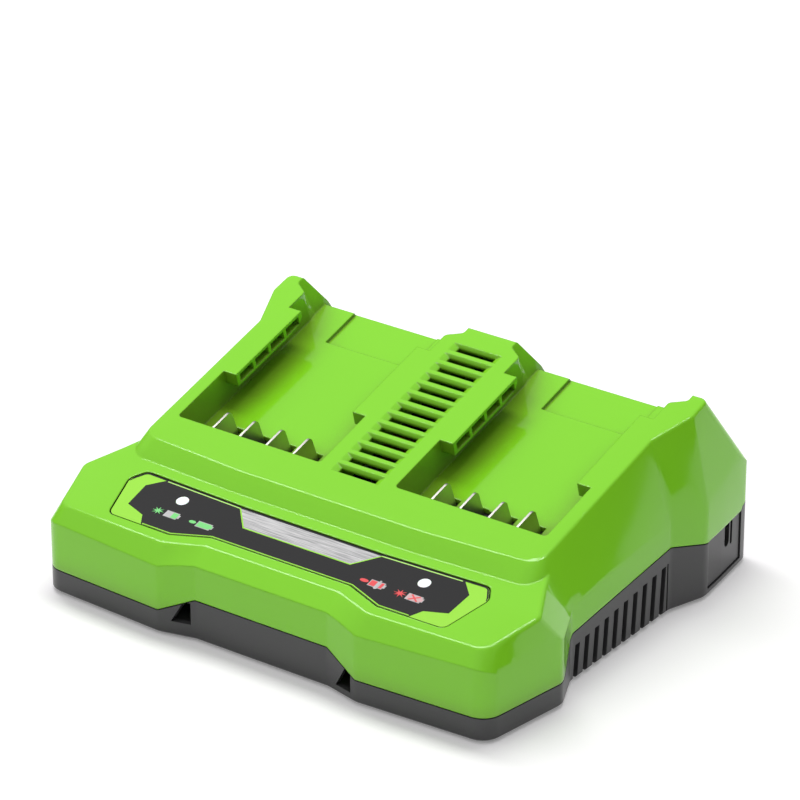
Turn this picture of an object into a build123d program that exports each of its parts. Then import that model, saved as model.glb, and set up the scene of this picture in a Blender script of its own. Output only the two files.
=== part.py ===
from build123d import *
from math import cos, sin, tan, radians
import os

# Dual bay charger for slide-on tool battery packs.  Millimetres.
# Frame: X across the bays, Y from the label (front) to the back, Z up.
# The origin is under the middle of the charger, on the surface it stands on.
# Lengths called "along" run up the inclined deck, from the front wall of the bays.

# ---- battery bays ----
bay_pitch = 98.0
bay_half = 32.4
bay_depth = 13.4
bay_corner_r = 1.5
flare_along = 80.7          # where the bay walls start to open out
flare_end_along = 84.4
flare_width = 5.9           # at the top; the flanks slope down to the foot of the wall
flare_foot = 0.6
bay_run = 125.0             # the bay cut runs out through the back
bay_floor_along = 91.0      # rear edge of the bay floor, set in between the fins
rail_width = 5.7
rail_front = 28.7
rail_end = 70.5
rail_height = 5.5
rail_nose = 4.2             # height of the rounded rear end of a rail
rail_lead = 61.0            # where the underside starts to rise to that end
rail_pockets = 4
rail_pocket_front = 2.0
rail_pocket_pitch = 9.8
rail_pocket_length = 8.1
rail_pocket_height = 3.2
rail_pocket_depth = 3.0
latch_half = 19.3
latch_offset = 0.3
latch_along = 71.8
latch_depth = 1.2

# ---- plan of the housing (right half, front to back) ----
bay_edge = bay_pitch / 2 + bay_half    # outer wall of the outer bays
recess_half = 29.1                     # recess in the middle of the front wall
lobe_inner_half = 43.5                 # where each front lobe starts
lobe_half = bay_edge + 15.8            # front corner of a lobe
flare_half = bay_edge + 21.8           # widest point, in front of the side vents
waist_half = bay_edge + 15.0           # side wall along the vents
hip_half = bay_edge + 20.2             # widest point behind the vents
hip_mid_half = bay_edge + 18.6         # where the rear wall starts to taper
tail_half = bay_edge + 15.4            # rear corner
recess_y = -83.0
lobe_y = -86.4
lobe_corner_y = -83.6
flare_y = -46.0
waist_front_y = -31.0
waist_back_y = 33.4
hip_y = 49.0
hip_mid_y = 63.0
tail_y = 86.4

# ---- heights and walls ----
foot_stand = 1.0            # the feet lift the base by this much
seam_lobe_z = 9.8           # parting line round the front lobes
seam_recess_z = 16.6        # parting line across the front recess
seam_vent_front_z = 19.8    # parting line above the side vents, front end
seam_vent_back_z = 26.4     # and its rear end
seam_rear_z = 22.6          # parting line above the side inserts
seam_step_z = 24.0          # it steps up behind them
seam_tail_z = 25.6          # and rises to the rear wall
seam_bend_r = 3.0
seam_gap = 0.4
wall = 2.4
cover_wall = 2.2
floor_t = 2.5
base_edge_chamfer = 0.8

# ---- label panel, in front of the deck ----
panel_y = -50.4             # a point on the panel surface, in the middle
panel_z = 41.0
panel_angle = 12.4
panel_setback = 5.4         # front crease of the panel, behind the lobe wall
panel_recess_setback = 7.2  # and behind the recess wall
panel_half = bay_edge + 11.6
panel_crease_r = 1.6
skirt_z = 21.0              # below this the walls are plain

# ---- inclined deck that carries the bays ----
deck_tilt = 15.0
deck_y = -25.0              # front wall of the bays, at the deck surface
deck_z = 51.6
deck_half = bay_edge + 5.8
horn_half = bay_edge + 12.2
deck_front = -16.4
horn_along = 59.9           # where the deck starts to widen
horn_end_along = 77.6
deck_back = 88.0
deck_foot_back = 28.6       # the rear slope would reach the ground this far behind the rear wall
deck_crease_r = 1.0

# ---- vents ----
top_slots = 13
top_slot_pitch = 6.29
top_slot_first = 0.6
top_slot_half = 8.1
top_slot_width = 2.4
bezel_margin = 2.5          # tapered pocket beyond the ends of its slot
bezel_lip = 1.0             # and beyond its long sides
bezel_depth = 1.2
side_slots = 10
side_slot_pitch = 6.18
side_slot_lead = 2.9        # first slot, behind the front end of the waist
side_slot_width = 2.9
side_slot_drop = 5.4        # solid band between slot top and parting line
side_slot_depth = 4.6
side_slot_lean = 1.5        # top of a slot, behind its foot
side_groove_width = 0.8     # thin groove that ends the row
side_groove_y = 31.6
side_groove_depth = 1.0
corner_vent_x = [-30.8, 41.3]   # upright right-hand edges of the vents beside the front recess
corner_vent_z = [6.6, 4.0]      # and their bottom edges
corner_vent_width = 7.6
corner_vent_top = 2.8
corner_vent_height = 8.6

# ---- terminals ----
blade_pitch = 12.2
blade_t = 0.9
blade_count = 4
blade_front = 2.0
blade_tip = 13.0
blade_tip_r = 2.5
blade_heel_r = 0.3
blade_foot = 14.2
blade_drop = 2.5            # top edge of a blade, below the deck surface
blade_tail_front = 4.0
blade_tail_back = 11.0
blade_shoulder = 2.0        # blade keeps its full width this far into the block
blade_clear = 0.15
blade_slot_width = 3.2      # opening in the bay floor round each blade
blade_slot_front = 0.6
blade_slot_back = 1.8
block_front = 1.2
block_back = 19.0
block_margin = 6.2          # block beyond its outer blades
block_window_half = 7.6     # opening round the middle blades
block_window_in = 0.6

# ---- screws and posts ----
screw_d = 3.0
screw_clear = 0.2
screw_bite_clear = 0.05
screw_head_d = 6.0
screw_head_h = 2.2
screw_well_d = 6.8
screw_well_h = 6.0
screw_length = 18.0
board_screw_length = 6.0
base_post_d = 10.0
cover_post_d = 8.0
board_post_d = 7.0
post_clear = 0.8
split_z = 14.0              # where base posts and cover posts meet
front_post_in = 7.2
front_post_back = 13.6
mid_post_y = -6.0
rear_post_in = 9.3
rear_post_front = 12.4

# ---- board and what stands on it ----
board_z = 10.0
board_t = 1.6
board_clear = 1.0
board_front_y = -65.0
board_back_y = 62.0
board_post_in = 6.0
board_post_end = 8.0
core_w = 36.0
core_d = 15.0
core_h = 24.0
core_leg = 7.0
core_yoke = 5.0
core_x = 4.0
core_y = 22.0
coil_d = 30.0
coil_gap = 0.3
bulk_can_d = 18.0
bulk_can_h = 29.0
bulk_can_x = -60.0
bulk_can_y = 19.0
output_can_d = 10.0
output_can_h = 18.0
output_can_x = [36.0, 50.0, 64.0]
output_can_y = 42.0
can_edge_r = 1.0
choke_d = 24.0
choke_bore = 11.0
choke_h = 11.0
choke_x = -60.0
choke_y = 45.0
film_w = 18.0
film_d = 9.0
film_h = 15.0
film_x = -33.0
film_y = 52.0
fuse_d = 5.2
fuse_glass_d = 4.6
fuse_length = 20.0
fuse_cap = 5.0
fuse_x = -33.0
fuse_y = 38.0
bridge_w = 20.0
bridge_d = 4.0
bridge_h = 16.0
bridge_x = -34.0
bridge_y = 14.0
sink_length = 44.0
sink_t = 3.0
sink_h = 28.0
sink_fins = 5
sink_fin_t = 1.5
sink_fin = 12.0
main_sink_x = 4.0
main_sink_y = 46.0
output_sink_x = 50.0
output_sink_y = 18.0
device_w = 10.0
device_h = 15.0
device_t = 4.5
device_lift = 3.0           # body of a power device above the board
lead_t = 0.6
lead_pitch = 2.5
chip_w = 14.0
chip_t = 1.5
chip_x = 0.0
chip_y = -45.0

# ---- front label, windows and status lights ----
label_t = 1.0
label_gap = 0.55
label_seat = 1.2            # depth of the pocket the label sits in
label_side = 14.0           # panel left free at each end
label_front = 5.1           # panel left free in front
label_notch_front = 5.1
window_in = 25.7            # windows, from the ends of the label
window_back = 8.1           # and from its rear edge
window_d = 4.8
window_clear = 0.1
pipe_flange_d = 8.0
pipe_flange_t = 1.2
pipe_stem_d = 4.0
led_d = 3.0
led_h = 2.0
led_gap = 0.3

# ---- feet, side inserts, cord gland ----
foot_d = 12.0
foot_t = 2.0
foot_clear = 0.1
foot_chamfer = 0.5
foot_in = 25.2              # from the front corner of a lobe
foot_front = 18.4           # from the front wall
foot_back = 16.4            # from the rear wall
insert_front_y = 51.2
insert_back_y = 79.0
insert_bottom_z = 3.4
insert_t = 1.6
insert_recess = 0.5
insert_gap = 0.45
insert_fit = 0.1
insert_pad = 1.5
notch_width = 3.9
notch_y = 67.5
notch_bottom_z = 13.4
side_notch_width = 1.7
side_notch_y = 71.3
side_notch_bottom_z = 12.8
gland_bore = 7.2
gland_d = 11.0
gland_flange_d = 15.0
gland_flange_t = 2.0
gland_lip_d = 13.0
gland_lip_t = 2.0
gland_pad_t = 6.0
gland_pad_d = 19.0
gland_clear = 0.1
gland_x = 0.0
gland_z = 12.0

# ---- worked out from the values above ----
tilt = radians(deck_tilt)
lean = radians(panel_angle)
deck = Plane(origin=(0, deck_y, deck_z), x_dir=(1, 0, 0), z_dir=(0, -sin(tilt), cos(tilt)))
panel = Plane(origin=(0, panel_y, panel_z), x_dir=(1, 0, 0), z_dir=(0, -sin(lean), cos(lean)))
panel_front_y = lobe_y + panel_setback
panel_recess_y = recess_y + panel_recess_setback
label_half = panel_half - label_side
label_front_y = panel_front_y + label_front
label_notch_y = panel_recess_y + label_notch_front
window_x = label_half - window_in
window_y = panel_y - window_back
base_floor = foot_stand + floor_t
well_top = foot_stand + screw_well_h
board_top = board_z + board_t
bay_spots = [-bay_pitch / 2, bay_pitch / 2]
sides = [(-1, "left"), (1, "right")]
front_post = (lobe_half - front_post_in, lobe_corner_y + front_post_back)
mid_post = (waist_half - side_slot_depth - post_clear - base_post_d / 2, mid_post_y)
rear_post = (tail_half - rear_post_in, tail_y - rear_post_front)
post_spots = [(side * x, y) for x, y in (front_post, mid_post, rear_post) for side in (-1, 1)]
board_half = mid_post[0] - base_post_d / 2 - board_clear
board_post_x = board_half - board_post_in
board_post_spots = [(side * board_post_x, y) for side in (-1, 1)
                    for y in (board_front_y + board_post_end, board_back_y - board_post_end)]
foot_x = lobe_half - foot_in
foot_rows = [("front", lobe_y + foot_front), ("back", tail_y - foot_back)]
foot_spots = [(side * foot_x, y) for row, y in foot_rows for side in (-1, 1)]
insert_middle_y = (insert_front_y + insert_back_y) / 2
insert_length = insert_back_y - insert_front_y
insert_seat = insert_recess + insert_t + insert_fit
notches = [(notch_y, notch_bottom_z, notch_width),
           (side_notch_y, side_notch_bottom_z, side_notch_width)]
block_drop = bay_depth + cover_wall
blade_offsets = [(n - (blade_count - 1) / 2) * blade_pitch for n in range(blade_count)]
block_half = blade_offsets[-1] + block_margin

os.makedirs("parts", exist_ok=True)


def save(part, name):
    part.label = name
    export_step(part, "parts/" + name + ".step")


# ---------------------------------------------------------------- outlines

def loop(half):
    # closed outline from the points of its right half, front to back
    return [*half, *[(-x, y) for x, y in reversed(half)]]


def outline(plane, half, radii, inset=0.0):
    with BuildSketch(plane) as sketch:
        with BuildLine():
            FilletPolyline(*loop(half), radius=[*radii, *reversed(radii)], close=True)
        make_face()
        if inset != 0:
            offset(amount=-inset, mode=Mode.REPLACE)
    return sketch.sketch


def plan(z, inset=0.0):
    half = [(recess_half, recess_y), (lobe_inner_half, lobe_y), (lobe_half, lobe_corner_y),
            (flare_half, flare_y), (waist_half, waist_front_y), (waist_half, waist_back_y),
            (hip_half, hip_y), (hip_mid_half, hip_mid_y), (tail_half, tail_y)]
    return outline(Plane.XY.offset(z), half, [8, 9, 8, 6, 8, 8, 8, 30, 6], inset)


def on_panel(points):
    # plan coordinates to coordinates in the surface of the label panel
    return [(x, (y - panel_y) / cos(lean)) for x, y in points]


def on_deck(along, drop):
    # distance up the slope and depth under the deck, as plan y and height
    return (deck_y + along * cos(tilt) + drop * sin(tilt),
            deck_z + along * sin(tilt) - drop * cos(tilt))


def bay_plane(x, drop=0.0):
    # plane parallel to the deck, under the middle of one bay
    y, z = on_deck(0, drop)
    return Plane(origin=(x, y, z), x_dir=(1, 0, 0), z_dir=deck.z_dir)


def side_plane(x):
    # vertical plane along the slope: local x runs up the slope, local y is its normal
    return Plane(origin=(x, deck_y, deck_z), x_dir=deck.y_dir, z_dir=(1, 0, 0))


def seam_over(y):
    # height of the parting line above the side vents
    run = (y - waist_front_y) / (waist_back_y - waist_front_y)
    return seam_vent_front_z + run * (seam_vent_back_z - seam_vent_front_z)


def rods(z, spots, diameter, length):
    # upright cylinders, for posts, wells, holes and pilots
    with BuildPart() as group:
        with BuildSketch(Plane.XY.offset(z)) as discs:
            with Locations(*spots):
                Circle(diameter / 2)
        extrude(discs.sketch, amount=length)
    return group.part


# ---------------------------------------------------------------- outer form

panel_edge = [(recess_half + 0.2, panel_recess_y), (lobe_inner_half + 1.3, panel_front_y),
              (panel_half, panel_front_y + 1.6), (flare_half - 2.6, flare_y - 11.2),
              (waist_half - 3.4, waist_front_y - 11.5), (deck_half - 3.2, deck_y + 3)]
panel_foot = [(recess_half + 0.2, recess_y - 14), (lobe_inner_half + 1.5, lobe_y - 5.2),
              (lobe_half + 1.5, lobe_corner_y - 6.4), (flare_half + 2, flare_y + 3.5),
              (waist_half + 2.6, waist_front_y + 3), (deck_half + 0.8, deck_y + 15)]
deck_edge = [(bay_half + 7.6, deck_front), (deck_half, deck_front + 2.6), (deck_half, horn_along),
             (horn_half, horn_end_along), (horn_half, deck_back)]
deck_foot = [(bay_half + 7.6, lobe_y - 4.2), (deck_half + 20.8, lobe_y - 5.6),
             (deck_half + 20.8, waist_back_y - 1.9), (deck_half + 23.2, hip_y),
             (deck_half + 17.6, tail_y + deck_foot_back)]


def lower_tier(inset=0.0):
    # the block in front of the deck, with the label panel on top
    with BuildPart() as tier:
        top = outline(panel.offset(-inset), on_panel(panel_edge), [4, 6, 6, 5, 5, 4], inset)
        foot = outline(Plane.XY.offset(skirt_z), panel_foot, [4, 6, 8, 7, 7, 4], inset)
        loft(sections=[foot, top], ruled=True)
        if inset == 0:
            top_face = tier.faces().sort_by(Axis((0, 0, 0), panel.z_dir))[-1]
            fillet(top_face.edges(), radius=panel_crease_r)
    return tier.part


def upper_tier(inset=0.0):
    # the inclined deck with its towers, still without the bays
    with BuildPart() as tier:
        top = outline(deck.offset(-inset), deck_edge, [60, 6, 3, 4, 3], inset)
        foot = outline(Plane.XY, deck_foot, [60, 20, 5, 6, 8], inset)
        loft(sections=[foot, top], ruled=True)
        if inset == 0:
            top_face = tier.faces().sort_by(Axis((0, 0, 0), deck.z_dir))[-1]
            fillet(top_face.edges(), radius=deck_crease_r)
    return tier.part


def housing(lower, upper, inset=0.0):
    # both tiers trimmed by the walls, on a plain skirt
    with BuildPart() as form:
        add(lower)
        add(upper)
        extrude(plan(0, inset), amount=2 * deck_z, mode=Mode.INTERSECT)
        extrude(plan(0, inset), amount=skirt_z)
    return form.part


def under_seam(lift):
    # everything under the stepped parting line
    far = 2 * flare_half
    side = [(-far, seam_lobe_z), (flare_y + 4.5, seam_lobe_z), (waist_front_y + 0.9, seam_vent_front_z),
            (waist_back_y, seam_vent_back_z), (hip_y + 1, seam_rear_z), (insert_back_y, seam_rear_z),
            (insert_back_y + 1, seam_step_z), (tail_y, seam_tail_z), (far, seam_tail_z), (far, -far),
            (-far, -far)]
    bends = [0, seam_bend_r, seam_bend_r, seam_bend_r, seam_bend_r, 0.3, 0.3, 0, 0, 0, 0]
    front = [(lobe_inner_half, seam_lobe_z + lift), (recess_half, seam_recess_z + lift)]
    with BuildPart() as zone:
        with BuildSketch(Plane(origin=(-far, 0, lift), x_dir=(0, 1, 0), z_dir=(1, 0, 0))) as profile:
            with BuildLine():
                FilletPolyline(*side, radius=bends, close=True)
            make_face()
        extrude(profile.sketch, amount=2 * far)
        with BuildSketch(Plane.XZ.offset(-lobe_y + 30)) as step:
            with BuildLine():
                Polyline(*loop(front), close=True)
            make_face()
        extrude(step.sketch, amount=-60)
    return zone.part


def bay_outline(plane, flare, grow=0.0):
    half = [(bay_half, 0), (bay_half, flare_along), (bay_half + flare, flare_end_along),
            (bay_half + flare, bay_run)]
    return outline(plane, half, [bay_corner_r, 2, 2, 0], -grow)


def behind_bays(grow=0.0):
    # what the rear wall leaves out between the fins, from its crease up to the end of the floor
    rim_y, rim_z = on_deck(deck_back, 0)
    crease_z = rim_z * deck_foot_back / (tail_y + deck_foot_back - rim_y)
    end_y, end_z = on_deck(bay_floor_along, bay_depth)
    top_y = end_y - (2 * deck_z - end_z) * (tail_y - end_y) / (end_z - crease_z)
    with BuildPart() as zone:
        with BuildSketch(Plane.YZ) as side_view:
            with BuildLine():
                Polyline((tail_y, crease_z), (top_y, 2 * deck_z), (2 * tail_y, 2 * deck_z),
                         (2 * tail_y, crease_z), close=True)
            make_face()
            if grow > 0:
                offset(amount=grow, mode=Mode.REPLACE)
        for x in bay_spots:
            half = bay_half + flare_foot + grow
            extrude(side_view.sketch.moved(Location((x - half, 0, 0))), amount=2 * half, dir=(1, 0, 0))
    return zone.part


outer = housing(lower_tier(), upper_tier())
inner = housing(lower_tier(cover_wall), upper_tier(cover_wall), wall)

# ---------------------------------------------------------------- top cover

# the inside of the housing, less the bays with their floor and walls
with BuildPart() as hollow:
    add(inner)
    for x in bay_spots:
        extrude(bay_outline(bay_plane(x, block_drop), flare_width, cover_wall), amount=5 * bay_depth,
                mode=Mode.SUBTRACT)
    add(behind_bays(cover_wall), mode=Mode.SUBTRACT)

with BuildPart() as cover_posts:
    add(rods(split_z, post_spots, cover_post_d, 2 * deck_z))
    add(outer, mode=Mode.INTERSECT)

# the room for the packs: the bay, and a shallow latch recess open to the back
with BuildPart() as bay_room:
    for x in bay_spots:
        at_floor = bay_outline(bay_plane(x, bay_depth), flare_foot)
        at_deck = bay_outline(bay_plane(x), flare_width)
        loft(sections=[at_floor, at_deck], ruled=True)
        extrude(at_deck, amount=2 * bay_depth)
        with BuildSketch(bay_plane(x + latch_offset, bay_depth + latch_depth)) as latch:
            with Locations((0, (latch_along + bay_run) / 2)):
                Rectangle(2 * latch_half, bay_run - latch_along)
        extrude(latch.sketch, amount=2 * latch_depth)
    add(behind_bays())

# guide rails, with a lead-in under the rear end and pockets along the side
with BuildPart() as rails:
    for x in bay_spots:
        for side in (-1, 1):
            inner_x = x + side * (bay_half - rail_width)
            with BuildSketch(side_plane(inner_x)) as rail:
                with BuildLine():
                    FilletPolyline((rail_front, 0), (rail_end, 0), (rail_end, -rail_nose),
                                   (rail_lead, -rail_height), (rail_front, -rail_height),
                                   radius=[0, 0, 4, 1, 0], close=True)
                make_face()
            extrude(rail.sketch, amount=side * (rail_width + 0.5))
            with BuildSketch(side_plane(inner_x)) as pockets:
                for step in range(rail_pockets):
                    along = rail_front + rail_pocket_front + step * rail_pocket_pitch
                    with Locations((along + rail_pocket_length / 2, -rail_height / 2)):
                        Rectangle(rail_pocket_length, rail_pocket_height)
            extrude(pockets.sketch, amount=side * rail_pocket_depth, mode=Mode.SUBTRACT)

# openings in the bay floors, for the blades and the block between the middle ones
with BuildPart() as blade_openings:
    slot_front = blade_front - blade_slot_front
    slot_back = blade_foot + blade_slot_back
    for x in bay_spots:
        with BuildSketch(bay_plane(x, block_drop + 1)) as openings:
            with Locations((0, (slot_front + slot_back) / 2)):
                with GridLocations(blade_pitch, 1, blade_count, 1):
                    Rectangle(blade_slot_width, slot_back - slot_front)
                Rectangle(2 * block_window_half, slot_back - slot_front - 2 * block_window_in)
        extrude(openings.sketch, amount=cover_wall + 2)

# louvred vent in the middle tower: through slots in tapered pockets
with BuildPart() as louvres:
    slot_middle = top_slot_first + (top_slots - 1) * top_slot_pitch / 2
    with BuildSketch(deck.offset(-cover_wall - 1)) as slots:
        with Locations((0, slot_middle)):
            with GridLocations(1, top_slot_pitch, 1, top_slots):
                Rectangle(2 * top_slot_half, top_slot_width)
    extrude(slots.sketch, amount=cover_wall + 2)
    for step in range(top_slots):
        along = top_slot_first + step * top_slot_pitch
        with BuildSketch(deck.offset(-bezel_depth)) as narrow:
            with Locations((0, along)):
                Rectangle(2 * top_slot_half, top_slot_width)
        with BuildSketch(deck) as wide:
            with Locations((0, along)):
                Rectangle(2 * (top_slot_half + bezel_margin), top_slot_width + 2 * bezel_lip)
        loft(sections=[narrow.sketch, wide.sketch], ruled=True)

# pocket for the label, and the two windows through the panel
label_outline = [(recess_half + 1.4, label_notch_y), (lobe_inner_half + 2.3, label_front_y),
                 (label_half - 5.6, label_front_y + 0.4), (label_half, panel_y - 6.2),
                 (label_half - 3.6, panel_y - 0.4), (recess_half + 0.9, panel_y - 1.9)]
label_radii = [3, 3, 3, 4, 3, 40]
window_spots = on_panel([(-window_x, window_y), (window_x, window_y)])

with BuildPart() as windows:
    with BuildSketch(panel.offset(-cover_wall - 1)) as window_discs:
        with Locations(*window_spots):
            Circle(window_d / 2 + window_clear)
    extrude(window_discs.sketch, amount=cover_wall + 2)

with BuildPart() as top_cover:
    add(outer)
    add(under_seam(seam_gap), mode=Mode.SUBTRACT)
    add(hollow.part, mode=Mode.SUBTRACT)
    add(cover_posts.part)
    add(bay_room.part, mode=Mode.SUBTRACT)
    add(rails.part)
    add(blade_openings.part, mode=Mode.SUBTRACT)
    add(louvres.part, mode=Mode.SUBTRACT)
    extrude(outline(panel.offset(-label_seat), on_panel(label_outline), label_radii, -label_gap),
            amount=2 * label_seat, mode=Mode.SUBTRACT)
    add(windows.part, mode=Mode.SUBTRACT)
    add(rods(split_z, post_spots, screw_d + 2 * screw_bite_clear,
             well_top + screw_length - split_z), mode=Mode.SUBTRACT)
save(top_cover.part, "top_cover")

# ---------------------------------------------------------------- base tray

with BuildPart() as room:
    extrude(plan(base_floor, wall), amount=deck_z)

# backing behind the side inserts
with BuildPart() as insert_pads:
    with BuildSketch(Plane.XY.offset(base_floor)) as pads:
        add(plan(base_floor, wall - insert_recess))
        add(plan(base_floor, insert_seat + insert_pad), mode=Mode.SUBTRACT)
        with Locations((-hip_half, insert_middle_y), (hip_half, insert_middle_y)):
            Rectangle(hip_half, insert_length + 2 * wall, mode=Mode.INTERSECT)
    extrude(pads.sketch, amount=seam_rear_z - base_floor)

with BuildPart() as insert_seats:
    with BuildSketch(Plane.XY.offset(insert_bottom_z)) as seats:
        Rectangle(3 * hip_half, 3 * tail_y)
        add(plan(insert_bottom_z, insert_seat), mode=Mode.SUBTRACT)
        with Locations((-hip_half, insert_middle_y), (hip_half, insert_middle_y)):
            Rectangle(hip_half, insert_length, mode=Mode.INTERSECT)
    extrude(seats.sketch, amount=deck_z)

# tall side vents, open through the bottom edge, under the sloping parting line
with BuildPart() as side_vents:
    slot_x = waist_half - side_slot_depth / 2 + 1
    for step in range(side_slots):
        y = waist_front_y + side_slot_lead + step * side_slot_pitch
        top_z = seam_over(y) - side_slot_drop
        with BuildSketch(Plane.YZ) as slot:
            with BuildLine():
                Polyline((y - side_slot_width / 2, 0), (y + side_slot_width / 2, 0),
                         (y + side_slot_width / 2 + side_slot_lean, top_z),
                         (y - side_slot_width / 2 + side_slot_lean, top_z), close=True)
            make_face()
        for side in (-1, 1):
            extrude(slot.sketch.moved(Location((side * slot_x, 0, 0))), amount=side_slot_depth / 2 + 1,
                    both=True, dir=(1, 0, 0))
    with BuildSketch(Plane.XY) as grooves:
        with Locations((-waist_half, side_groove_y), (waist_half, side_groove_y)):
            Rectangle(2 * side_groove_depth, side_groove_width)
    extrude(grooves.sketch, amount=seam_over(side_groove_y) - side_slot_drop)

# vents in the slanting walls beside the front recess, both with their upright edge on the right
with BuildPart() as corner_vents:
    for x, z in zip(corner_vent_x, corner_vent_z):
        with BuildSketch(Plane.XZ.offset(-recess_y - wall - 1)) as corner_vent:
            with BuildLine():
                Polyline((x, z), (x - corner_vent_width, z), (x - corner_vent_top, z + corner_vent_height),
                         (x, z + corner_vent_height), close=True)
            make_face()
        extrude(corner_vent.sketch, amount=2 * wall + 6)

with BuildPart() as base_tray:
    extrude(plan(foot_stand), amount=deck_z)
    chamfer(base_tray.faces().sort_by(Axis.Z)[0].edges(), length=base_edge_chamfer)
    add(room.part, mode=Mode.SUBTRACT)
    add(under_seam(0), mode=Mode.INTERSECT)
    add(rods(base_floor, post_spots, base_post_d, split_z - base_floor))
    add(rods(base_floor, board_post_spots, board_post_d, board_z - base_floor))
    add(insert_pads.part)
    with BuildSketch(Plane.XZ.offset(-tail_y)) as gland_pad:
        with Locations((gland_x, gland_z)):
            Circle(gland_pad_d / 2)
    extrude(gland_pad.sketch, amount=gland_pad_t)
    with BuildSketch(Plane.XZ.offset(-tail_y)) as gland_hole:
        with Locations((gland_x, gland_z)):
            Circle(gland_d / 2 + gland_clear)
    extrude(gland_hole.sketch, amount=gland_pad_t + 1, mode=Mode.SUBTRACT)
    with BuildSketch(Plane.XZ.offset(-tail_y)) as gland_seat:
        with Locations((gland_x, gland_z)):
            Circle(gland_flange_d / 2 + gland_clear)
    extrude(gland_seat.sketch, amount=gland_flange_t, mode=Mode.SUBTRACT)
    add(insert_seats.part, mode=Mode.SUBTRACT)
    add(side_vents.part, mode=Mode.SUBTRACT)
    add(corner_vents.part, mode=Mode.SUBTRACT)
    add(rods(0, post_spots, screw_well_d, well_top), mode=Mode.SUBTRACT)
    add(rods(well_top, post_spots, screw_d + 2 * screw_clear, split_z), mode=Mode.SUBTRACT)
    add(rods(board_z - board_screw_length + board_t, board_post_spots,
             screw_d + 2 * screw_bite_clear, board_screw_length), mode=Mode.SUBTRACT)
    add(rods(0, foot_spots, foot_d + 2 * foot_clear, foot_t), mode=Mode.SUBTRACT)
save(base_tray.part, "base_tray")

# ---------------------------------------------------------------- side inserts

for side, name in sides:
    with BuildPart() as side_insert:
        with BuildSketch(Plane.XY.offset(insert_bottom_z + insert_gap)) as band:
            add(plan(insert_bottom_z + insert_gap, insert_recess))
            add(plan(insert_bottom_z + insert_gap, insert_recess + insert_t), mode=Mode.SUBTRACT)
            with Locations((side * hip_half, insert_middle_y)):
                Rectangle(hip_half, insert_length - 2 * insert_gap, mode=Mode.INTERSECT)
        extrude(band.sketch, amount=seam_rear_z - insert_bottom_z - insert_gap)
        with BuildSketch(Plane.YZ.offset(side * hip_half / 2)) as notch:
            for y, z, width in notches:
                with Locations((y, seam_rear_z)):
                    SlotCenterToCenter(2 * (seam_rear_z - z) - width, width, rotation=90)
        extrude(notch.sketch, amount=side * hip_half, mode=Mode.SUBTRACT)
    save(side_insert.part, "side_insert_" + name)

# ---------------------------------------------------------------- label and lights

with BuildPart() as front_label:
    extrude(outline(panel.offset(-label_seat), on_panel(label_outline), label_radii),
            amount=label_t)
    add(windows.part, mode=Mode.SUBTRACT)
save(front_label.part, "front_label")

# each window is the head of a light pipe that reaches down to a light on the board
window_z = panel_z - window_back * tan(lean)
pipe_drop = cover_wall + pipe_flange_t
stem_y = window_y + pipe_drop * sin(lean)
stem_bottom = board_top + led_h + led_gap
for (px, py), (side, name) in zip(window_spots, sides):
    with BuildPart() as light_pipe:
        with BuildSketch(panel.offset(-pipe_drop)) as flange:
            with Locations((px, py)):
                Circle(pipe_flange_d / 2)
        extrude(flange.sketch, amount=pipe_flange_t)
        with BuildSketch(panel.offset(-cover_wall)) as head:
            with Locations((px, py)):
                Circle(window_d / 2)
        extrude(head.sketch, amount=cover_wall - label_seat + label_t)
        add(rods(stem_bottom, [(px, stem_y)], pipe_stem_d, window_z - cover_wall - stem_bottom - 1))
    save(light_pipe.part, "light_pipe_" + name)
    with BuildPart() as status_led:
        add(rods(board_top, [(px, stem_y)], led_d, led_h))
        fillet(status_led.faces().sort_by(Axis.Z)[-1].edges(), radius=led_d / 4)
    save(status_led.part, "status_led_" + name)

# ---------------------------------------------------------------- feet and cord gland

for row, y in foot_rows:
    for side, name in sides:
        with BuildPart() as foot:
            add(rods(0, [(side * foot_x, y)], foot_d, foot_t))
            chamfer(foot.faces().sort_by(Axis.Z)[0].edges(), length=foot_chamfer)
        save(foot.part, "foot_" + row + "_" + name)

with BuildPart() as cord_gland:
    neck_back = tail_y - gland_flange_t
    lip_front = tail_y - gland_pad_t - gland_lip_t
    with BuildSketch(Plane.YZ.offset(gland_x)) as half_section:
        with BuildLine():
            Polyline((tail_y, gland_z + gland_bore / 2),
                     (tail_y, gland_z + gland_flange_d / 2),
                     (neck_back, gland_z + gland_flange_d / 2),
                     (neck_back, gland_z + gland_d / 2),
                     (tail_y - gland_pad_t, gland_z + gland_d / 2),
                     (tail_y - gland_pad_t, gland_z + gland_lip_d / 2),
                     (lip_front, gland_z + gland_d / 2),
                     (lip_front, gland_z + gland_bore / 2), close=True)
        make_face()
    revolve(half_section.sketch, axis=Axis((gland_x, 0, gland_z), (0, 1, 0)))
save(cord_gland.part, "cord_gland")

# ---------------------------------------------------------------- terminals


def blade_profile(grow=0.0):
    # fin above the bay floor with a narrower tail that stands on the board
    tail_front = on_deck(blade_tail_front, block_drop)
    tail_back = on_deck(blade_tail_back, block_drop)
    points = [on_deck(blade_front, blade_drop), on_deck(blade_tip, blade_drop),
              on_deck(blade_foot, bay_depth), on_deck(blade_foot, block_drop + blade_shoulder),
              (tail_back[0], tail_back[1] - 2 * blade_shoulder), (tail_back[0], board_top),
              (tail_front[0], board_top), on_deck(blade_front, block_drop + blade_shoulder)]
    with BuildSketch(Plane.YZ) as profile:
        with BuildLine():
            FilletPolyline(*points, radius=[blade_heel_r, blade_tip_r, 0, 0, 0, 0, 0, 0], close=True)
        make_face()
        if grow > 0:
            offset(amount=grow, mode=Mode.REPLACE)
    return profile.sketch


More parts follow.
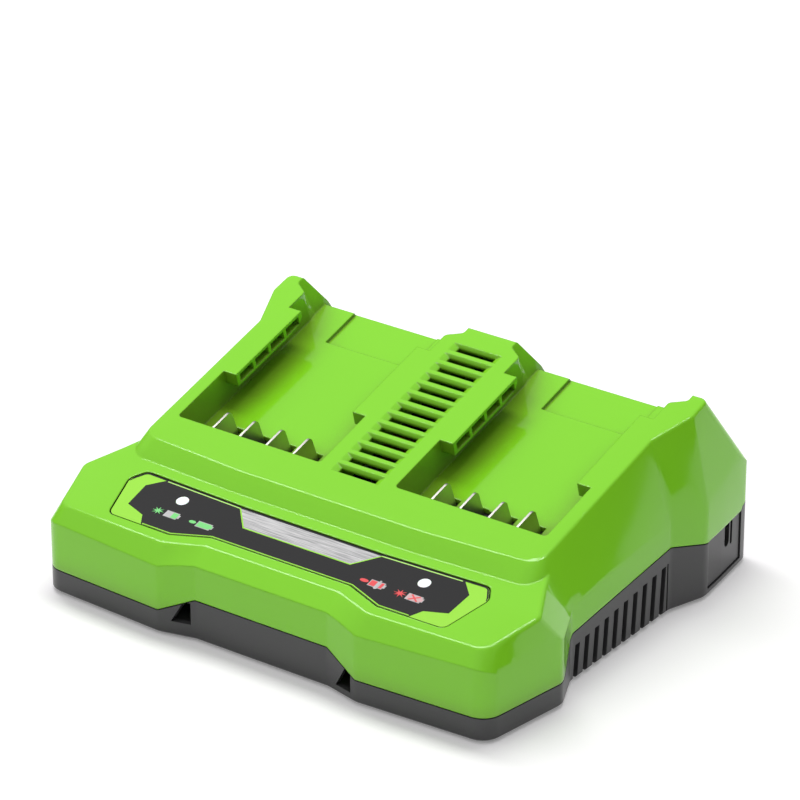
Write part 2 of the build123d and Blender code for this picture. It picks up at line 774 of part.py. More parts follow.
def blades(profile, x, thickness):
    # plates of the given profile, centred on x
    with BuildPart() as plates:
        extrude(profile.moved(Location((x - thickness / 2, 0, 0))), amount=thickness,
                dir=(1, 0, 0))
    return plates.part


fin = blade_profile()
fin_room = blade_profile(blade_clear)
for x, (side, name) in zip(bay_spots, sides):
    with BuildPart() as terminal_block:
        front_top = on_deck(block_front, block_drop)
        back_top = on_deck(block_back, block_drop)
        with BuildSketch(Plane.YZ.offset(x - block_half)) as side_view:
            with BuildLine():
                Polyline((front_top[0], board_top), front_top, back_top, (back_top[0], board_top),
                         close=True)
            make_face()
        extrude(side_view.sketch, amount=2 * block_half)
        for step in blade_offsets:
            add(blades(fin_room, x + step, blade_t + 2 * blade_clear), mode=Mode.SUBTRACT)
    save(terminal_block.part, "terminal_block_" + name)
    for count, step in enumerate(blade_offsets):
        save(blades(fin, x + step, blade_t), "blade_" + name + "_" + str(count + 1))

# ---------------------------------------------------------------- board

with BuildPart() as main_board:
    with BuildSketch(Plane.XY.offset(board_z)) as sheet:
        with Locations((0, (board_front_y + board_back_y) / 2)):
            RectangleRounded(2 * board_half, board_back_y - board_front_y, 3)
        with Locations(*board_post_spots):
            Circle(screw_d / 2 + screw_clear, mode=Mode.SUBTRACT)
    extrude(sheet.sketch, amount=board_t)
save(main_board.part, "main_board")

# E core with the coil round its middle leg
window_in_x = core_leg / 2
window_out_x = core_w / 2 - core_yoke
with BuildPart() as transformer_core:
    with BuildSketch(Plane.XZ.offset(-core_y - core_d / 2)) as e_shape:
        with Locations((core_x, board_top + core_h / 2)):
            Rectangle(core_w, core_h)
            with GridLocations(window_in_x + window_out_x, 1, 2, 1):
                Rectangle(window_out_x - window_in_x, core_h - 2 * core_yoke, mode=Mode.SUBTRACT)
    extrude(e_shape.sketch, amount=core_d)
save(transformer_core.part, "transformer_core")

with BuildPart() as transformer_coil:
    with BuildSketch(Plane.XY.offset(board_top + core_yoke + coil_gap)) as coil:
        with Locations((core_x, core_y)):
            RectangleRounded(2 * (window_out_x - coil_gap), coil_d, 4)
            Rectangle(core_leg + 2 * coil_gap, core_d + 2 * coil_gap, mode=Mode.SUBTRACT)
    extrude(coil.sketch, amount=core_h - 2 * core_yoke - 2 * coil_gap)
save(transformer_coil.part, "transformer_coil")


def can(x, y, diameter, height):
    # electrolytic capacitor standing on the board
    with BuildPart() as part:
        add(rods(board_top, [(x, y)], diameter, height))
        fillet(part.faces().sort_by(Axis.Z)[-1].edges(), radius=can_edge_r)
    return part.part


def block(x, y, z, width, depth, height):
    # upright box with its middle at x, y
    with BuildPart() as part:
        with BuildSketch(Plane.XY.offset(z)) as base:
            with Locations((x, y)):
                Rectangle(width, depth)
        extrude(base.sketch, amount=height)
    return part.part


save(can(bulk_can_x, bulk_can_y, bulk_can_d, bulk_can_h), "bulk_capacitor")
for count, x in enumerate(output_can_x):
    save(can(x, output_can_y, output_can_d, output_can_h), "output_capacitor_" + str(count + 1))

with BuildPart() as filter_choke:
    with BuildSketch(Plane.XY.offset(board_top)) as ring:
        with Locations((choke_x, choke_y)):
            Circle(choke_d / 2)
            Circle(choke_bore / 2, mode=Mode.SUBTRACT)
    extrude(ring.sketch, amount=choke_h)
    fillet(filter_choke.faces().sort_by(Axis.Z)[-1].edges(), radius=2 * can_edge_r)
save(filter_choke.part, "filter_choke")

with BuildPart() as film_capacitor:
    add(block(film_x, film_y, board_top, film_w, film_d, film_h))
    fillet(film_capacitor.edges().filter_by(Axis.Z), radius=can_edge_r)
save(film_capacitor.part, "film_capacitor")

with BuildPart() as bridge_rectifier:
    add(block(bridge_x, bridge_y, board_top, bridge_w, bridge_d, bridge_h))
    top_corner = bridge_rectifier.edges().filter_by(Axis.Y).group_by(Axis.Z)[-1]
    chamfer(top_corner.sort_by(Axis.X)[0], length=bridge_d / 2)
save(bridge_rectifier.part, "bridge_rectifier")

with BuildPart() as fuse:
    with BuildSketch(Plane.YZ.offset(fuse_x - fuse_length / 2)) as glass:
        with Locations((fuse_y, board_top + fuse_d / 2)):
            Circle(fuse_glass_d / 2)
    extrude(glass.sketch, amount=fuse_length)
    for side in (-1, 1):
        add(block(fuse_x + side * (fuse_length - fuse_cap) / 2, fuse_y, board_top, fuse_cap,
                  fuse_d, fuse_d))
save(fuse.part, "fuse")

# heat sinks with fins at the back and a power device on the front
sinks = [(main_sink_x, main_sink_y, "main_heat_sink", "switching_transistor"),
         (output_sink_x, output_sink_y, "output_heat_sink", "output_rectifier")]
for x, y, sink_name, device_name in sinks:
    with BuildPart() as heat_sink:
        with BuildSketch(Plane.XY.offset(board_top)) as fins:
            with Locations((x, y)):
                Rectangle(sink_length, sink_t)
            with Locations((x, y + sink_t / 2 + sink_fin / 2)):
                with GridLocations((sink_length - sink_fin_t) / (sink_fins - 1), 1, sink_fins, 1):
                    Rectangle(sink_fin_t, sink_fin)
        extrude(fins.sketch, amount=sink_h)
    save(heat_sink.part, sink_name)
    device_y = y - sink_t / 2 - device_t / 2
    with BuildPart() as device:
        add(block(x, device_y, board_top + device_lift, device_w, device_t, device_h))
        for step in (-1, 0, 1):
            add(block(x + step * lead_pitch, device_y, board_top, lead_t, lead_t, device_lift))
    save(device.part, device_name)

save(block(chip_x, chip_y, board_top, chip_w, chip_w, chip_t), "control_chip")

# ---------------------------------------------------------------- screws

with BuildPart() as housing_screws:
    add(rods(well_top, post_spots, screw_d, screw_length))
    add(rods(well_top - screw_head_h, post_spots, screw_head_d, screw_head_h))
save(housing_screws.part, "housing_screws")

with BuildPart() as board_screws:
    add(rods(board_top - board_screw_length, board_post_spots, screw_d, board_screw_length))
    add(rods(board_top, board_post_spots, screw_head_d, screw_head_h))
save(board_screws.part, "board_screws")
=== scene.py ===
import math

import bmesh
import bpy
from mathutils import Matrix, Vector


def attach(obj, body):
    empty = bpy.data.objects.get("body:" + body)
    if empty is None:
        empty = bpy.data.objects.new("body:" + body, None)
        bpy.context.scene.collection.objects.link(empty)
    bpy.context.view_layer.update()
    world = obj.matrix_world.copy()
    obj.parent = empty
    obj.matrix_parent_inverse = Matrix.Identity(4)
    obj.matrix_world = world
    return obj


# Looks of a dual bay charger for slide-on tool battery packs.
# Everything is in metres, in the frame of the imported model.

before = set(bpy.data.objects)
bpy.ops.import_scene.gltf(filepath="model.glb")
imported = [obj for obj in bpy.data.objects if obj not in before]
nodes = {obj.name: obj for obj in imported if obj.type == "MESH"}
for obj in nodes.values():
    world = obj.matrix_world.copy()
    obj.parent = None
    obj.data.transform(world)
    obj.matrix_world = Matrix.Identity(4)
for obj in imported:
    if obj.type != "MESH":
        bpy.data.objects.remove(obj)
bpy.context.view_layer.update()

MM = 0.001
BODY = "root"

# ---- camera ----
CAMERA_PLACE = (0.84535, -1.17646, 0.77789)
CAMERA_TILT = 64.0                # degrees from straight down
CAMERA_TURN = 35.67
LENS = 201.85
SENSOR = 36.0
CLIP_START = 0.05

# ---- label ----
LABEL_LEAN = math.radians(12.4)   # slope of the label panel
PANEL_Y = -50.4 * MM              # rear edge of the panel's label area
INK_LIFT = 0.02 * MM              # underside of the printed areas above the film
INK_T = 0.02 * MM
LAYER_STEP = 0.03 * MM            # from one printed layer to the next

# ---- edges ----
WELD = 0.002 * MM
SHARP_ANGLE = math.radians(24)

# ---- painted shade in gaps and corners, by the share of open surroundings ----
CREVICE = 1.3 * MM                # painted shade: gaps narrower than this turn dark inside
CREVICE_OPENNESS = (0.25, 0.56)   # from fully dark to not darkened
CREVICE_LEFT = 0.04               # share of the colour left under the painted shade in a closed gap
# near-black colour painted as shade inside narrow gaps, seams and slots
CREVICE_SHADE_COLOUR = "#0A0C08"
CORNER = 22 * MM                  # reach of the broad painted shade in deep corners
CORNER_OPENNESS = (0.62, 0.90)
# olive green painted as shade in deep corners
CORNER_SHADE_COLOUR = "#78A826"

# ---- floor, room and lamp ----
FLOOR_HALF = 0.8
FLOOR_COLOUR = "#F4F2F4"
FLOOR_GLOW = 0.19                 # lifts the table to white where it is seen
ROOM_RISE = (0.12, 0.65)          # sine of the height above the horizon: dark below, full above
ROOM_LEVEL = (0.2, 0.77)          # at the foot and at the top
FLAG_REACH = (0.0, 0.7)           # a black flag dims the room towards the right
FLAG_LEVEL = (1.0, 0.5)
LAMP_PLACE = (-0.28, 0.20, 1.2)
LAMP_TARGET = (0, 0, 0)
LAMP_WIDTH = 1.15
LAMP_DEPTH = 0.30
LAMP_POWER = 9.0


# ---------------------------------------------------------------- colours and nodes

def linear(hex_colour, alpha=1.0):
    """An sRGB hex value as the linear colour that shaders take."""
    parts = [int(hex_colour[i:i + 2], 16) / 255 for i in (1, 3, 5)]
    return (*[p / 12.92 if p <= 0.04045 else ((p + 0.055) / 1.055) ** 2.4 for p in parts], alpha)


def add_node(tree, kind, inputs=None, **settings):
    """Adds a node. Each input is a value, or the output socket that feeds it."""
    node = tree.nodes.new(kind)
    for name, value in settings.items():
        setattr(node, name, value)
    for name, value in (inputs or {}).items():
        if isinstance(value, bpy.types.NodeSocket):
            tree.links.new(value, node.inputs[name])
        else:
            node.inputs[name].default_value = value
    return node


def mapped(tree, value, source=(0.0, 1.0), target=(0.0, 1.0), **settings):
    """A value carried from one range to another, held at the ends."""
    inputs = {"Value": value, "From Min": source[0], "From Max": source[1],
              "To Min": target[0], "To Max": target[1]}
    return add_node(tree, "ShaderNodeMapRange", inputs, **settings).outputs["Result"]


def mixed(tree, factor, first, second):
    """A mix of two colours: the first at factor 0, the second at factor 1."""
    inputs = {"Factor": factor, 6: first, 7: second}
    return add_node(tree, "ShaderNodeMix", inputs, data_type="RGBA").outputs[2]


def openness(tree, reach, samples):
    """The share of the surroundings within reach that nothing hides."""
    node = add_node(tree, "ShaderNodeAmbientOcclusion", {"Distance": reach}, samples=samples)
    return node.outputs["AO"]


def new_material(name, **shader_inputs):
    """A material with a Principled shader on its own, and the object's coordinates."""
    material = bpy.data.materials.new(name)
    material.use_nodes = True
    tree = material.node_tree
    tree.nodes.clear()
    inputs = {key.replace("_", " "): value for key, value in shader_inputs.items()}
    shader = add_node(tree, "ShaderNodeBsdfPrincipled", inputs)
    add_node(tree, "ShaderNodeOutputMaterial", {"Surface": shader.outputs["BSDF"]})
    place = add_node(tree, "ShaderNodeTexCoord").outputs["Object"]
    return material, tree, shader, place


def moulded(name, colour, pale, roughness, spread, grain_mm, grain_depth_mm, edge_mm,
            corner=1.0, **shader_inputs):
    """Injection moulded plastic: even colour with a faint flow, grain from the mould, soft edges.

    Deep corners and narrow gaps get painted shade in the colour, by how much of the surroundings
    is hidden. The corner value is the share of the colour left in the painted corner shade."""
    material, tree, shader, place = new_material(name, **shader_inputs)
    flow = add_node(tree, "ShaderNodeTexNoise",
                    {"Vector": place, "Scale": 1 / (60 * MM), "Detail": 2.0})
    tint = mixed(tree, flow.outputs["Fac"], linear(colour), linear(pale))
    # painted shade: deep corners turn towards an olive green
    depth = mapped(tree, openness(tree, CORNER, 12), CORNER_OPENNESS, (corner, 1.0))
    dimmed = mixed(tree, depth, linear(CORNER_SHADE_COLOUR), tint)
    # painted shade: narrow gaps, seams and slots turn near black
    lit = mapped(tree, openness(tree, CREVICE, 16), CREVICE_OPENNESS, (CREVICE_LEFT, 1.0))
    shaded = mixed(tree, lit, linear(CREVICE_SHADE_COLOUR), dimmed)
    tree.links.new(shaded, shader.inputs["Base Color"])
    grain = add_node(tree, "ShaderNodeTexNoise",
                     {"Vector": place, "Scale": 1 / (grain_mm * MM), "Detail": 3.0,
                      "Roughness": 0.55})
    gloss = mapped(tree, grain.outputs["Fac"], target=(roughness - spread, roughness + spread))
    tree.links.new(gloss, shader.inputs["Roughness"])
    edge = add_node(tree, "ShaderNodeBevel", {"Radius": edge_mm * MM}, samples=6)
    bump = add_node(tree, "ShaderNodeBump",
                    {"Height": grain.outputs["Fac"], "Distance": grain_depth_mm * MM,
                     "Strength": 1.0, "Normal": edge.outputs["Normal"]})
    tree.links.new(bump.outputs["Normal"], shader.inputs["Normal"])
    return material


# ---------------------------------------------------------------- materials

# Glossy green ABS: polished mould, so clear highlights on every crease and a faint waviness; deep
# corners take the full olive painted shade.
green_abs = moulded("green_abs_polished", "#86DB20", "#89DE24", 0.09, 0.02, 9.0, 0.006, 1.00,
                    corner=0.0, IOR=1.5)

# Dark grey ABS of the tray: fine spark-eroded mould, a soft sheen and no mirror image.
grey_abs = moulded("grey_abs_textured", "#3E3E3F", "#424243", 0.30, 0.05, 0.7, 0.008, 0.30,
                   IOR=1.5)

# The side inserts come from another mould of the same grey, darker and slightly more matt.
insert_abs = moulded("grey_abs_insert", "#303031", "#333334", 0.34, 0.05, 0.7, 0.008, 0.25,
                     IOR=1.5)

# Glass-filled PBT of the terminal blocks: near black and dull, because it takes heat.
black_pbt = moulded("black_pbt", "#141415", "#1C1C1D", 0.55, 0.06, 0.5, 0.015, 0.15, IOR=1.55)

# Moulded rubber of the feet and the cord gland.
rubber = moulded("rubber_moulded", "#161617", "#1C1C1C", 0.72, 0.06, 0.4, 0.02, 0.2, IOR=1.52)

# Printed polycarbonate film of the label: bright green ground with a satin clear surface.
film_green = moulded("polycarbonate_film_green", "#9FEA3C", "#A2EC40", 0.12, 0.02, 0.8, 0.001,
                     0.05, IOR=1.5)

# Inks of the film: a dark grey ground, thin lines paler than the film, and coloured signs.
ink_dark = moulded("film_ink_dark", "#1B1B1C", "#1E1D1F", 0.12, 0.02, 0.8, 0.001, 0.02, IOR=1.40)
ink_line = moulded("film_ink_line", "#BDF57C", "#C0F680", 0.2, 0.02, 0.8, 0.001, 0.02, IOR=1.5)
ink_green = moulded("film_ink_green", "#74DE78", "#78E07C", 0.32, 0.02, 0.8, 0.003, 0.02, IOR=1.5)
ink_red = moulded("film_ink_red", "#EE3A40", "#F03F45", 0.32, 0.02, 0.8, 0.003, 0.02, IOR=1.5)
ink_silver = moulded("film_ink_silver", "#BDBBBD", "#C4C2C4", 0.32, 0.02, 0.8, 0.003, 0.02,
                     IOR=1.5)
ink_pink = moulded("film_ink_pink", "#D9A9AC", "#DDB0B2", 0.32, 0.02, 0.8, 0.003, 0.02, IOR=1.5)

# Milky acrylic of the light pipes, unlit: a faint painted glow keeps it white.
acrylic = moulded("acrylic_milky", "#FAFCFA", "#FFFFFF", 0.16, 0.02, 2.0, 0.002, 0.15, IOR=1.49,
                  Subsurface_Weight=0.2, Subsurface_Scale=0.002,
                  # painted glow: a faint emission keeps the unlit light pipes white
                  Emission_Color=linear("#FFFFFF"), Emission_Strength=0.12)


def silver_foil():
    """Hot-stamped silver foil of the nameplate area: fine horizontal brushing, half gloss."""
    material, tree, shader, place = new_material("foil_brushed_silver", Metallic=0.7,
                                                 Roughness=0.2)
    stretch = add_node(tree, "ShaderNodeMapping", {"Vector": place, "Scale": (0.03, 1.0, 1.0)})
    line_mm = 0.35                # brushing lines, coarser than real ones so that they show
    lines = add_node(tree, "ShaderNodeTexNoise",
                     {"Vector": stretch.outputs["Vector"], "Scale": 1 / (line_mm * MM),
                      "Detail": 3.0})
    streak = mapped(tree, lines.outputs["Fac"], (0.35, 0.65))
    tint = mixed(tree, streak, linear("#A2A2A3"), linear("#E2E1E2"))
    tree.links.new(tint, shader.inputs["Base Color"])
    bump = add_node(tree, "ShaderNodeBump",
                    {"Height": lines.outputs["Fac"], "Distance": 0.01 * MM, "Strength": 0.6})
    tree.links.new(bump.outputs["Normal"], shader.inputs["Normal"])
    return material


def metal(name, colour, roughness, line_mm, stretch_by, edge_mm=0.1):
    """Rolled or drawn metal with fine lines along one axis."""
    material, tree, shader, place = new_material(name, Metallic=1.0)
    shader.inputs["Base Color"].default_value = linear(colour)
    stretch = add_node(tree, "ShaderNodeMapping", {"Vector": place, "Scale": stretch_by})
    lines = add_node(tree, "ShaderNodeTexNoise",
                     {"Vector": stretch.outputs["Vector"], "Scale": 1 / (line_mm * MM),
                      "Detail": 2.0})
    gloss = mapped(tree, lines.outputs["Fac"], target=(roughness - 0.06, roughness + 0.06))
    tree.links.new(gloss, shader.inputs["Roughness"])
    edge = add_node(tree, "ShaderNodeBevel", {"Radius": edge_mm * MM}, samples=4)
    bump = add_node(tree, "ShaderNodeBump",
                    {"Height": lines.outputs["Fac"], "Distance": 0.003 * MM,
                     "Normal": edge.outputs["Normal"]})
    tree.links.new(bump.outputs["Normal"], shader.inputs["Normal"])
    return material


foil = silver_foil()
# Nickel plated brass strip of the blades: bright, blanked edge, rolled along its length.
nickel = metal("nickel_plated_strip", "#B4B2AD", 0.36, 1.5, (1.0, 0.08, 0.08), 0.12)
zinc_steel = metal("zinc_plated_steel", "#B9BABD", 0.35, 0.3, (1.0, 1.0, 0.1))
extruded_aluminium = metal("extruded_aluminium", "#C9CBCE", 0.38, 0.3, (1.0, 1.0, 0.05))


def board_laminate():
    """Glass fibre board with green solder mask: woven glass shows faintly through the mask."""
    material, tree, shader, place = new_material("solder_masked_laminate", Roughness=0.35,
                                                 IOR=1.5)
    weave_mm = 3.0
    weft, warp = [add_node(tree, "ShaderNodeTexWave",
                           {"Vector": place, "Scale": 1 / (weave_mm * MM)},
                           bands_direction=way).outputs["Fac"] for way in "XY"]
    both = add_node(tree, "ShaderNodeMath", {0: weft, 1: warp}, operation="MULTIPLY")
    tint = mixed(tree, both.outputs["Value"], linear("#0B4A26"), linear("#12602F"))
    tree.links.new(tint, shader.inputs["Base Color"])
    return material


laminate = board_laminate()
# Sintered ferrite: dark grey, slightly shiny grains.
ferrite = moulded("sintered_ferrite", "#2A2B2D", "#343538", 0.5, 0.08, 0.4, 0.02, 0.3, IOR=1.9)
coil_tape = moulded("polyester_coil_tape", "#D8B62E", "#E0C040", 0.35, 0.05, 3.0, 0.03, 0.2,
                    IOR=1.55)
can_sleeve = moulded("shrink_sleeve", "#1B2433", "#202A3A", 0.3, 0.04, 4.0, 0.02, 0.2, IOR=1.5)
copper = metal("enamelled_copper", "#B8642E", 0.3, 0.8, (1.0, 1.0, 0.2), 0.3)
film_case = moulded("epoxy_film_case", "#D49A1E", "#DCA42A", 0.32, 0.05, 2.0, 0.02, 0.3, IOR=1.5)
fuse_glass = moulded("fuse_glass_tube", "#CFD6D6", "#D8DEDE", 0.1, 0.02, 3.0, 0.002, 0.1, IOR=1.5)

NODE_MATERIALS = {
    "top_cover": green_abs, "base_tray": grey_abs, "side_insert": insert_abs,
    "front_label": film_green, "light_pipe": acrylic, "status_led": acrylic, "foot": rubber,
    "cord_gland": rubber, "terminal_block": black_pbt, "blade": nickel, "main_board": laminate,
    "transformer_core": ferrite, "transformer_coil": coil_tape, "bulk_capacitor": can_sleeve,
    "output_capacitor": can_sleeve, "filter_choke": copper, "film_capacitor": film_case,
    "bridge_rectifier": black_pbt, "fuse": fuse_glass, "main_heat_sink": extruded_aluminium,
    "output_heat_sink": extruded_aluminium, "switching_transistor": black_pbt,
    "output_rectifier": black_pbt, "control_chip": black_pbt, "housing_screws": zinc_steel,
    "board_screws": zinc_steel,
}


# ---------------------------------------------------------------- smooth shading of the pieces

def shading_tree():
    """Smooth faces, with edges left sharp where faces meet at more than the given angle."""
    tree = bpy.data.node_groups.new("smooth_by_angle", "GeometryNodeTree")
    tree.interface.new_socket("Geometry", in_out="INPUT", socket_type="NodeSocketGeometry")
    tree.interface.new_socket("Sharp Angle", in_out="INPUT", socket_type="NodeSocketFloat")
    tree.interface.new_socket("Geometry", in_out="OUTPUT", socket_type="NodeSocketGeometry")
    source = add_node(tree, "NodeGroupInput")
    merged = add_node(tree, "GeometryNodeMergeByDistance",
                      {"Geometry": source.outputs["Geometry"], "Distance": WELD})
    smooth = add_node(tree, "GeometryNodeSetShadeSmooth",
                      {"Geometry": merged.outputs["Geometry"], "Shade Smooth": True})
    angle = add_node(tree, "GeometryNodeInputMeshEdgeAngle")
    sharp = add_node(tree, "FunctionNodeCompare",
                     {0: angle.outputs["Unsigned Angle"], 1: source.outputs["Sharp Angle"]},
                     data_type="FLOAT", operation="GREATER_THAN")
    edged = add_node(tree, "GeometryNodeSetShadeSmooth",
                     {"Geometry": smooth.outputs["Geometry"], "Selection": sharp.outputs["Result"],
                      "Shade Smooth": False}, domain="EDGE")
    add_node(tree, "NodeGroupOutput", {"Geometry": edged.outputs["Geometry"]})
    return tree


smooth_tree = shading_tree()
angle_socket = smooth_tree.interface.items_tree["Sharp Angle"].identifier

for name, piece in nodes.items():
    stem = max((key for key in NODE_MATERIALS if name.startswith(key)), key=len)
    piece.data.materials.clear()
    piece.data.materials.append(NODE_MATERIALS[stem])
    modifier = piece.modifiers.new("smooth_by_angle", "NODES")
    modifier.node_group = smooth_tree
    modifier[angle_socket] = SHARP_ANGLE


# ---------------------------------------------------------------- printed areas of the label

label_normal = Vector((0, -math.sin(LABEL_LEAN), math.cos(LABEL_LEAN)))
label_level = max(v.co.dot(label_normal) for v in nodes["front_label"].data.vertices)
label_foot_z = (label_level + PANEL_Y * math.sin(LABEL_LEAN)) / math.cos(LABEL_LEAN)
label_origin = Vector((0, PANEL_Y, label_foot_z))


def print_area(name, outlines, material, layer=0):
    """Printed shapes on the label. Points are millimetres across and up the slope; an outline
    inside another is a hole."""
    curve = bpy.data.curves.new(name, "CURVE")
    curve.dimensions = "2D"
    curve.fill_mode = "BOTH"
    curve.extrude = INK_T / MM / 2
    for outline in outlines:
        spline = curve.splines.new("POLY")
        spline.points.add(len(outline) - 1)
        for point, (x, v) in zip(spline.points, outline):
            point.co = (x, v, 0, 1)
        spline.use_cyclic_u = True
    flat = bpy.data.objects.new(name, curve)
    data = bpy.data.meshes.new_from_object(flat)
    bpy.data.objects.remove(flat)
    rise = INK_LIFT + INK_T / 2 + layer * LAYER_STEP
    data.transform(Matrix.Translation(label_origin + label_normal * rise)
                   @ Matrix.Rotation(LABEL_LEAN, 4, "X") @ Matrix.Scale(MM, 4))
    data.materials.clear()
    data.materials.append(material)
    piece = bpy.data.objects.new(name, data)
    bpy.context.scene.collection.objects.link(piece)
    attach(piece, BODY)


def flipped(points):
    """The same points on the other side of the middle, in reverse order."""
    return [(-x, v) for x, v in reversed(points)]


def mirrored(half):
    """A closed outline, or a line across the middle, from its right half."""
    return half + flipped(half)


def stroke(points, width):
    """The outline of a line of even width with mitred bends."""
    line = [Vector(point) for point in points]
    left, right = [], []
    for i, point in enumerate(line):
        ways = [(line[j + 1] - line[j]).normalized() for j in (i - 1, i) if 0 <= j < len(line) - 1]
        along = sum(ways, Vector((0, 0))).normalized()
        reach = width / 2 / along.dot(ways[0])
        across = Vector((-along.y, along.x)) * reach
        left.append(point + across)
        right.append(point - across)
    return [(p.x, p.y) for p in left + right[::-1]]


def oval(x, v, radius_x, radius_v, count=28):
    turns = [2 * math.pi * i / count for i in range(count)]
    return [(x + radius_x * math.cos(t), v + radius_v * math.sin(t)) for t in turns]


def star(x, v, radius_x, radius_v, rays=8, waist=0.34):
    """A sign for a blinking light. The waist is the inner radius as a share of the outer one."""
    turns = [math.pi * i / rays for i in range(2 * rays)]
    reach = [1 if i % 2 == 0 else waist for i in range(2 * rays)]
    return [(x + r * radius_x * math.cos(t), v + r * radius_v * math.sin(t))
            for t, r in zip(turns, reach)]


def battery(x0, x1, v0, v1, margin=0.0):
    """A battery sign lying down, with its nub at the right."""
    nub_length, nub_share = 0.75, 0.27
    body, middle, nub = x1 - nub_length, (v0 + v1) / 2, (v1 - v0) * nub_share
    x0, v0, v1, body, nub = x0 + margin, v0 + margin, v1 - margin, body - margin, nub - margin / 2
    return [(x0, v0), (body, v0), (body, middle - nub), (x1 - margin, middle - nub),
            (x1 - margin, middle + nub), (body, middle + nub), (body, v1), (x0, v1)]


def thermometer(x, v, bulb, half, top, count=20):
    """A thermometer sign in one outline: round bulb below, straight stem up to the top."""
    gap = math.asin(half / bulb)
    turns = [math.pi / 2 + gap + (2 * math.pi - 2 * gap) * i / count for i in range(count + 1)]
    ball = [(x + bulb * math.cos(t), v + bulb * math.sin(t)) for t in turns]
    return ball + [(x + half, top), (x - half, top)]


def block_between(x0, x1, v0, v1):
    return [(x0, v0), (x1, v0), (x1, v1), (x0, v1)]


# dark ground with round windows, painted shadow of the groove along the rear edge, silver plate,
# thin green lines: right halves
FIELD = [(30.0, -2.05), (65.5, -0.9), (71.3, -6.8), (70.5, -18.3), (61.7, -21.2),
         (58.9, -25.82), (45.8, -26.0), (30.5, -20.68)]
# painted shadow: outline of a dark strip along the label's rear edge and ends, where the groove
# round the film is in shade
GROOVE_SHADOW_OUTER = [(29.6, -1.93), (73.6, -0.46), (74.8, -0.66), (75.8, -1.3), (78.05, -4.9),
              (78.6, -6.9)]
GROOVE_SHADOW_INNER = [(78.3, -6.9), (77.5, -5.15), (75.4, -1.75), (74.6, -1.2), (73.6, -1.02),
              (65.0, -1.3), (31.2, -2.4), (29.6, -2.5)]
PLATE = [(23.3, -11.1), (31.25, -2.65)]
TOP_LINE = [(65.0, -1.55), (31.2, -2.65)]
PLATE_LINE = [(31.2, -2.65), (23.5, -11.35)]
FRONT_LINE = [(58.6, -25.35), (45.8, -25.5), (30.9, -20.3)]
LINE_W = 0.5

WINDOW_X, WINDOW_V, WINDOW_R = 53.3, -8.29, 2.5
windows = [oval(side * WINDOW_X, WINDOW_V, WINDOW_R, WINDOW_R, 40) for side in (-1, 1)]
other_top_line = [(-x, v) for x, v in TOP_LINE]

print_area("label_dark_field", [mirrored(FIELD), *windows], ink_dark)
# painted shadow: a dark strip stands for the shade in the groove along the film's rear edge
print_area("label_painted_groove_shadow", [flipped(GROOVE_SHADOW_OUTER) + GROOVE_SHADOW_OUTER + GROOVE_SHADOW_INNER
                               + flipped(GROOVE_SHADOW_INNER)], ink_dark, 1)
print_area("label_silver_plate", [mirrored(PLATE)], foil, 1)
print_area("label_green_lines", [stroke(line, LINE_W) for line in (TOP_LINE, other_top_line)],
           ink_line, 2)
print_area("label_plate_line", [stroke(mirrored(PLATE_LINE), LINE_W)], film_green, 2)
print_area("label_front_line", [stroke(mirrored(FRONT_LINE), LINE_W)], film_green, 1)

# charge signs from left to right: left, right, lower and upper side of each battery
PART_CHARGED = (-54.7, -48.2, -18.4, -15.0)
FULL = (-40.4, -33.4, -18.2, -15.0)
TOO_WARM = (35.5, 42.3, -18.1, -14.7)
FAULTY = (51.8, 58.7, -18.5, -15.1)
RIM = 0.3                         # silver rim round a filled battery
CROSS_W = 0.6

print_area("label_signs_silver",
           [battery(*place) for place in (PART_CHARGED, FULL, TOO_WARM, FAULTY)], ink_silver, 1)
print_area("label_signs_green",
           [star(-57.9, -16.8, 2.6, 2.1), oval(-42.4, -16.6, 1.5, 0.8),
            block_between(-51.6, -49.2, -18.1, -15.3), battery(*FULL, RIM)], ink_green, 2)
print_area("label_signs_red",
           [oval(33.3, -16.4, 1.8, 0.85), block_between(35.8, 38.3, -17.8, -15.0),
            block_between(40.0, 41.2, -17.8, -15.0), star(48.9, -16.8, 2.8, 2.1)], ink_red, 2)
print_area("label_sign_thermometer", [thermometer(39.15, -18.0, 0.85, 0.35, -14.1)],
           ink_silver, 3)
print_area("label_sign_fault", [battery(*FAULTY, RIM)], ink_pink, 2)
print_area("label_sign_cross", [stroke([(53.2, -18.2), (56.8, -15.4)], CROSS_W)], ink_red, 3)
print_area("label_sign_cross_back", [stroke([(53.2, -15.4), (56.8, -18.2)], CROSS_W)],
           ink_red, 4)


# ---------------------------------------------------------------- floor, room, lamp, camera

def white_floor():
    """White table whose shadows stay."""
    material, tree, shader, _ = new_material("studio_paper", Roughness=0.9)
    shader.inputs["Base Color"].default_value = linear(FLOOR_COLOUR)
    shader.inputs["Specular IOR Level"].default_value = 0.0
    path = add_node(tree, "ShaderNodeLightPath")
    seen = add_node(tree, "ShaderNodeMath",
                    {0: path.outputs["Is Camera Ray"], 1: path.outputs["Is Glossy Ray"]},
                    operation="MAXIMUM")
    lift = add_node(tree, "ShaderNodeMath", {0: seen.outputs["Value"], 1: FLOOR_GLOW},
                    operation="MULTIPLY")
    glow = add_node(tree, "ShaderNodeEmission", {"Strength": lift.outputs["Value"]})
    both = add_node(tree, "ShaderNodeAddShader",
                    {0: shader.outputs["BSDF"], 1: glow.outputs["Emission"]})
    tree.links.new(both.outputs["Shader"], tree.nodes["Material Output"].inputs["Surface"])
    mesh = bmesh.new()
    bmesh.ops.create_grid(mesh, x_segments=1, y_segments=1, size=FLOOR_HALF)
    data = bpy.data.meshes.new("floor")
    mesh.to_mesh(data)
    mesh.free()
    data.materials.append(material)
    floor = bpy.data.objects.new("floor", data)
    bpy.context.scene.collection.objects.link(floor)


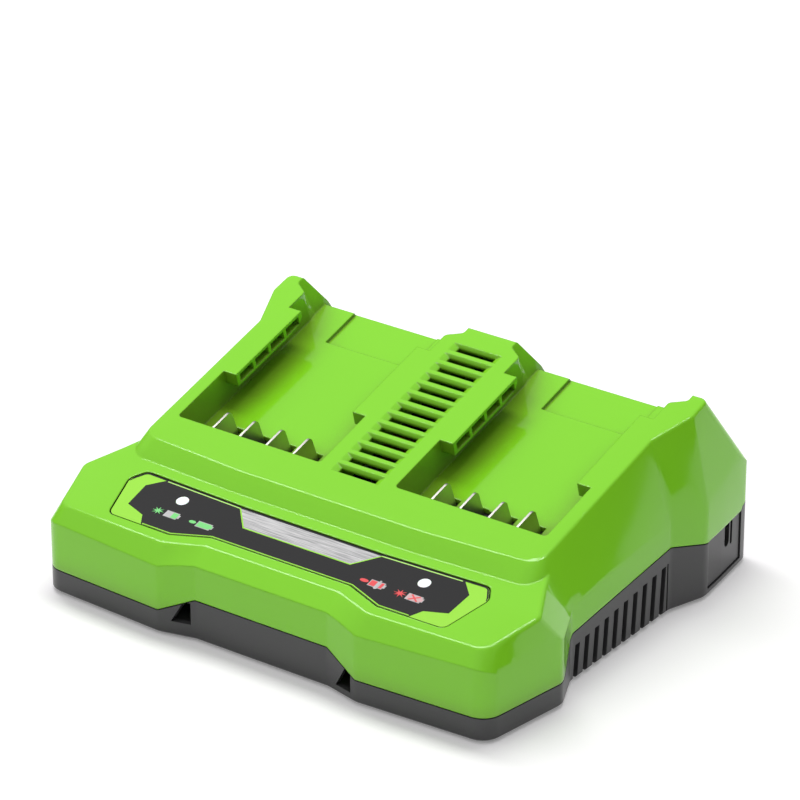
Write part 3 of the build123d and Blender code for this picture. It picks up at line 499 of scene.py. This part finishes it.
def white_room():
    """White behind the part, and for light a room that is darker round its foot and right."""
    world = bpy.data.worlds.new("room")
    world.use_nodes = True
    bpy.context.scene.world = world
    tree = world.node_tree
    tree.nodes.clear()
    way = add_node(tree, "ShaderNodeSeparateXYZ",
                   {"Vector": add_node(tree, "ShaderNodeTexCoord").outputs["Generated"]})
    height = mapped(tree, way.outputs["Z"], ROOM_RISE, ROOM_LEVEL,
                    interpolation_type="SMOOTHSTEP")
    flag = mapped(tree, way.outputs["X"], FLAG_REACH, FLAG_LEVEL,
                  interpolation_type="SMOOTHSTEP")
    level = add_node(tree, "ShaderNodeMath", {0: height, 1: flag}, operation="MULTIPLY")
    path = add_node(tree, "ShaderNodeLightPath")
    shown = add_node(tree, "ShaderNodeMix",
                     {"Factor": path.outputs["Is Camera Ray"], 2: level.outputs["Value"], 3: 1.0},
                     data_type="FLOAT")
    room = add_node(tree, "ShaderNodeBackground",
                    {"Color": linear("#FFFFFF"), "Strength": shown.outputs[0]})
    add_node(tree, "ShaderNodeOutputWorld", {"Surface": room.outputs["Background"]})


def soft_box(name, place, target, width, depth, power):
    """A rectangular area lamp, pointed at a place, with its width level and along x."""
    data = bpy.data.lights.new(name, "AREA")
    data.shape = "RECTANGLE"
    data.size = width
    data.size_y = depth
    data.energy = power
    lamp = bpy.data.objects.new(name, data)
    lamp.location = place
    back = (Vector(place) - Vector(target)).normalized()
    side = (Vector((1, 0, 0)) - back * back.x).normalized()
    lamp.rotation_euler = Matrix((side, back.cross(side), back)).transposed().to_euler()
    bpy.context.scene.collection.objects.link(lamp)


white_floor()
white_room()
soft_box("overhead_box", LAMP_PLACE, LAMP_TARGET, LAMP_WIDTH, LAMP_DEPTH, LAMP_POWER)

camera_data = bpy.data.cameras.new("camera")
camera_data.lens = LENS
camera_data.sensor_width = SENSOR
camera_data.clip_start = CLIP_START
camera = bpy.data.objects.new("camera", camera_data)
camera.location = CAMERA_PLACE
camera.rotation_euler = (math.radians(CAMERA_TILT), 0, math.radians(CAMERA_TURN))
bpy.context.scene.collection.objects.link(camera)
bpy.context.scene.camera = camera
bpy.context.scene.view_settings.view_transform = "Standard"
